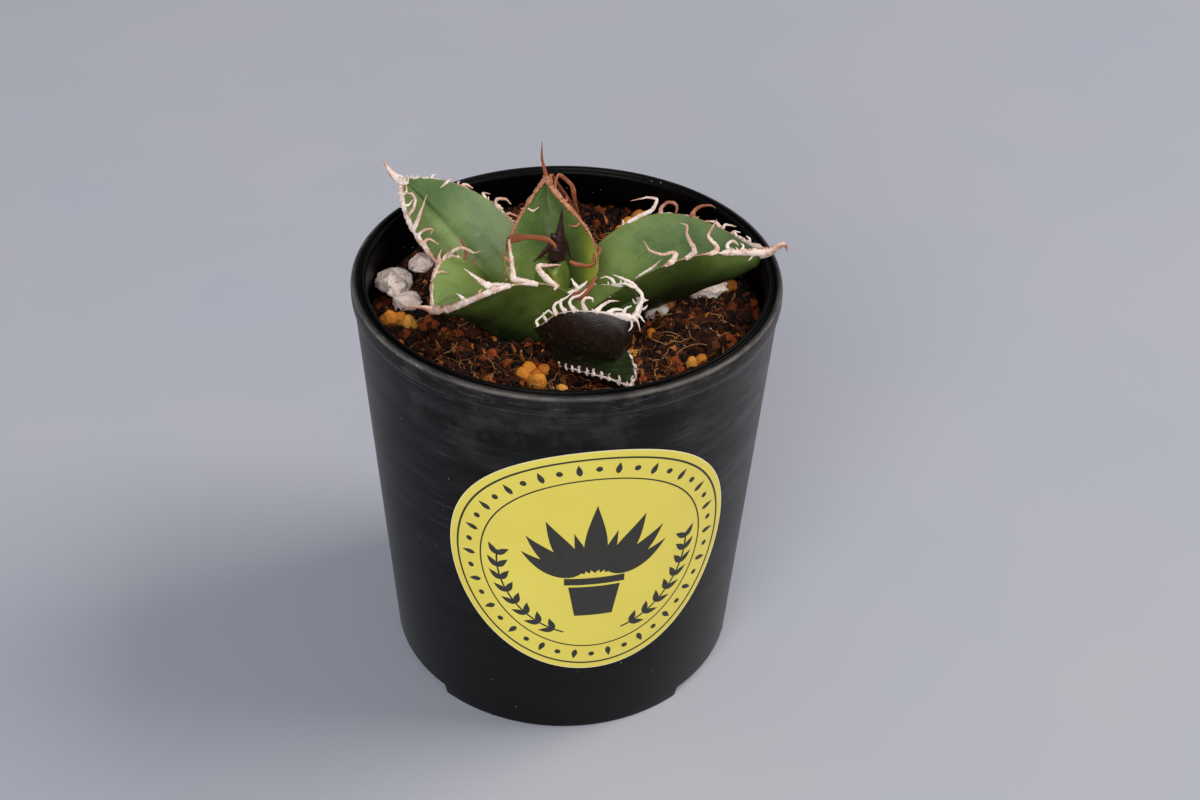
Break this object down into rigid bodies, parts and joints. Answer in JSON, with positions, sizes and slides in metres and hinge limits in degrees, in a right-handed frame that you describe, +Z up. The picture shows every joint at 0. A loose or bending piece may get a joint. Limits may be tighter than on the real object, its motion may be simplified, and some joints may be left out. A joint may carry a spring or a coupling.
{
  "type": "potted agave",
  "caption": "Small rosette agave with curled white marginal teeth, growing in gritty mix in a round tapered black plastic nursery pot with a round front sticker.",
  "frame": {"origin": "centre of the pot's foot, on the surface it stands on", "axes": "+Z up, -Y towards the front of the pot with the sticker, +X to the right as seen from the front"},
  "size_m": [0.0912, 0.09, 0.1184],
  "materials": {
    "pot_plastic": "black polypropylene, semi-matt, lightly scuffed",
    "sticker_film": "printed vinyl film, satin",
    "soil_mix": "moist gritty potting mix, rough",
    "stem_tissue": "plant stem, matt",
    "leaf_green": "waxy succulent leaf, satin",
    "leaf_dark": "dark purplish underside of a leaf, satin",
    "horn_pale": "dry horny leaf margin and teeth, matt",
    "horn_dark": "young horny tip, satin",
    "pumice_stone": "white pumice, rough",
    "clay_grit": "yellow-brown clay granules, rough"
  },
  "bodies": {
    "root": {"pot": "pot_plastic", "sticker": "sticker_film", "soil": "soil_mix", "crown": "stem_tissue", "leaf_spear": "leaf_green", "margin_spear": "horn_dark", "leaf_back_centre": "leaf_green", "margin_back_centre": "horn_pale", "leaf_right": "leaf_green", "margin_right": "horn_pale", "leaf_front_left": "leaf_green", "margin_front_left": "horn_pale", "leaf_back_left": "leaf_green", "margin_back_left": "horn_pale", "leaf_front_dark": "leaf_dark", "margin_front_dark": "horn_pale", "leaf_front_low": "leaf_green", "margin_front_low": "horn_pale", "pumice_1": "pumice_stone", "pumice_2": "pumice_stone", "pumice_3": "pumice_stone", "pumice_4": "pumice_stone", "pumice_5": "pumice_stone", "grit_1": "clay_grit", "grit_2": "clay_grit", "grit_3": "clay_grit", "grit_4": "clay_grit", "grit_5": "clay_grit"}
  },
  "joints": []
}
